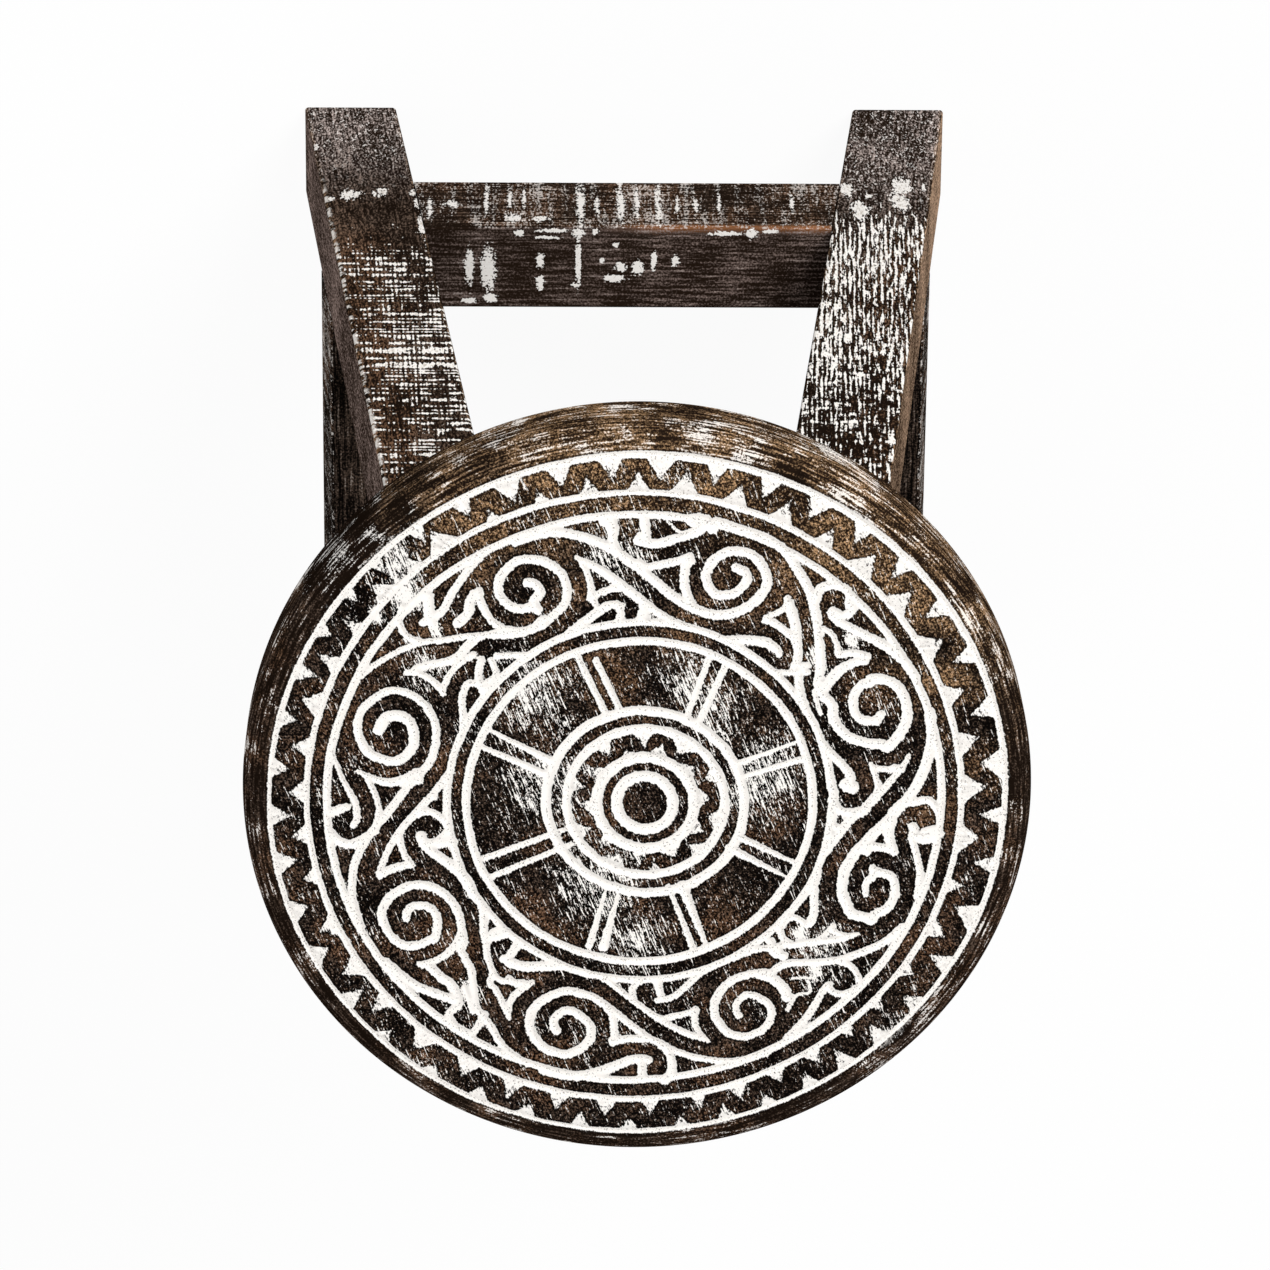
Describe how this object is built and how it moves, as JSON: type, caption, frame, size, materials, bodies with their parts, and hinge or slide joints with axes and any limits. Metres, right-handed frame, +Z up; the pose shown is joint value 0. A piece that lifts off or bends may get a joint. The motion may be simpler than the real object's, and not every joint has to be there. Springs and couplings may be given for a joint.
{
  "type": "wooden stool",
  "caption": "Round carved wooden stool on splayed square legs, joined by stretchers near the floor and top rails under the seat.",
  "frame": {"origin": "on the floor, under the middle of the seat", "axes": "+Z up; -Y towards the front, the side seen in the picture; the seat's axis is Z"},
  "size_m": [0.3, 0.3, 0.45],
  "materials": {
    "carved_seat": "dark stained wood, carved, with whitewash left in the carving",
    "leg_wood": "dark stained wood with worn whitewash in scratches",
    "stretcher_wood": "dark stained wood with rubbed whitewash",
    "frame_wood": "dark stained wood, matt",
    "pin_wood": "end grain, rubbed with whitewash",
    "white_filling": "chalky stopping",
    "screw_steel": "plain steel"
  },
  "bodies": {
    "root": {"seat": "carved_seat", "leg_front_right": "leg_wood", "leg_front_left": "leg_wood", "leg_back_right": "leg_wood", "leg_back_left": "leg_wood", "stretcher_front": "stretcher_wood", "stretcher_right": "stretcher_wood", "stretcher_back": "stretcher_wood", "stretcher_left": "stretcher_wood", "top_rail_front": "frame_wood", "top_rail_right": "frame_wood", "top_rail_back": "frame_wood", "top_rail_left": "frame_wood", "stretcher_screws": "screw_steel", "stretcher_screw_fillings": "white_filling", "stretcher_tenon_pins": "pin_wood", "top_rail_tenon_pins": "pin_wood", "seat_screws": "screw_steel"}
  },
  "joints": []
}
